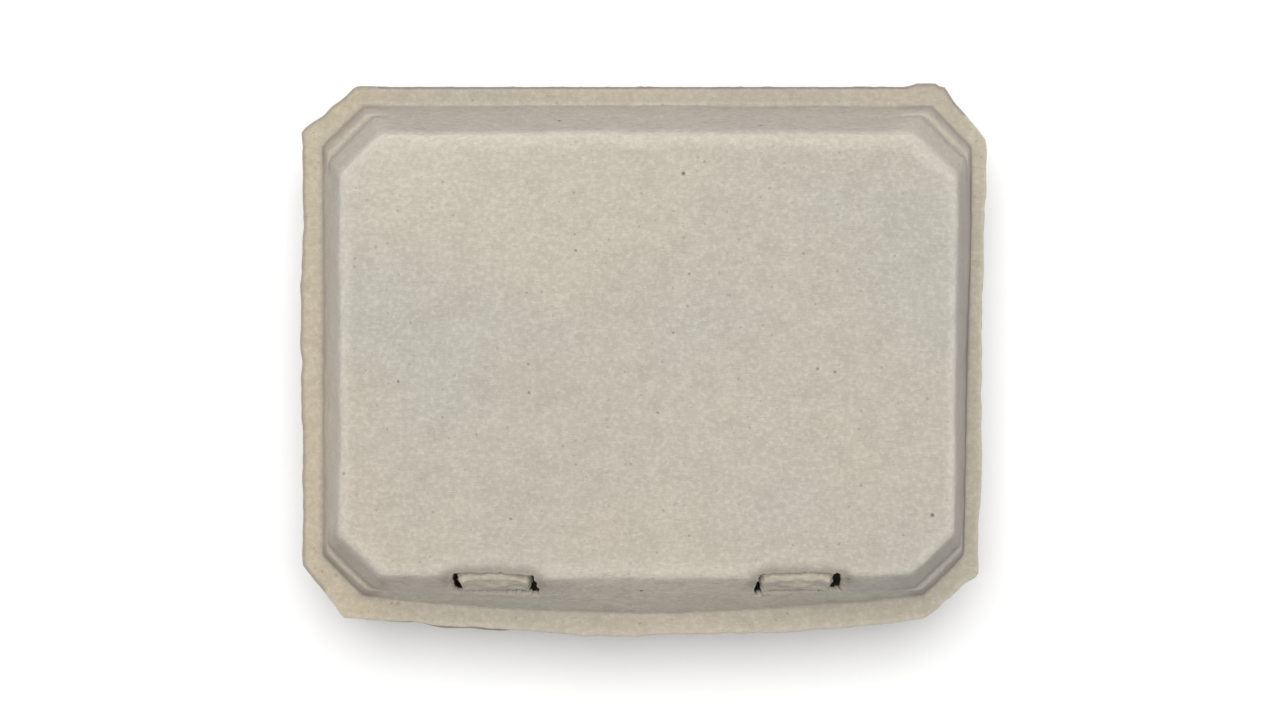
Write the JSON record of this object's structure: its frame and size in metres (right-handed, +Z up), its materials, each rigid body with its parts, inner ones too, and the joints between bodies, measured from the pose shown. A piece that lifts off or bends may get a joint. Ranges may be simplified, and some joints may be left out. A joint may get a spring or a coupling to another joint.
{
  "type": "egg carton",
  "caption": "Closed moulded paper-pulp egg carton: flat-topped lid with clipped corners on a deep cell tray, joined by a back crease and held by front lock tongues.",
  "frame": {"origin": "centre of the closed carton's outline, on the surface it stands on", "axes": "+X along the long side, to the right seen from the front; +Y towards the hinge crease at the back; +Z up"},
  "size_m": [0.223, 0.18, 0.07],
  "materials": {
    "pulp": "matt, felted"
  },
  "bodies": {
    "tray": {"tray": "pulp"},
    "lid": {"lid": "pulp"}
  },
  "joints": [
    {"name": "lid_hinge", "type": "hinge", "parent": "tray", "child": "lid", "pos_m": [0, 0.0887, 0.04], "axis": [-1, 0, 0], "range_deg": [0, 178]}
  ]
}
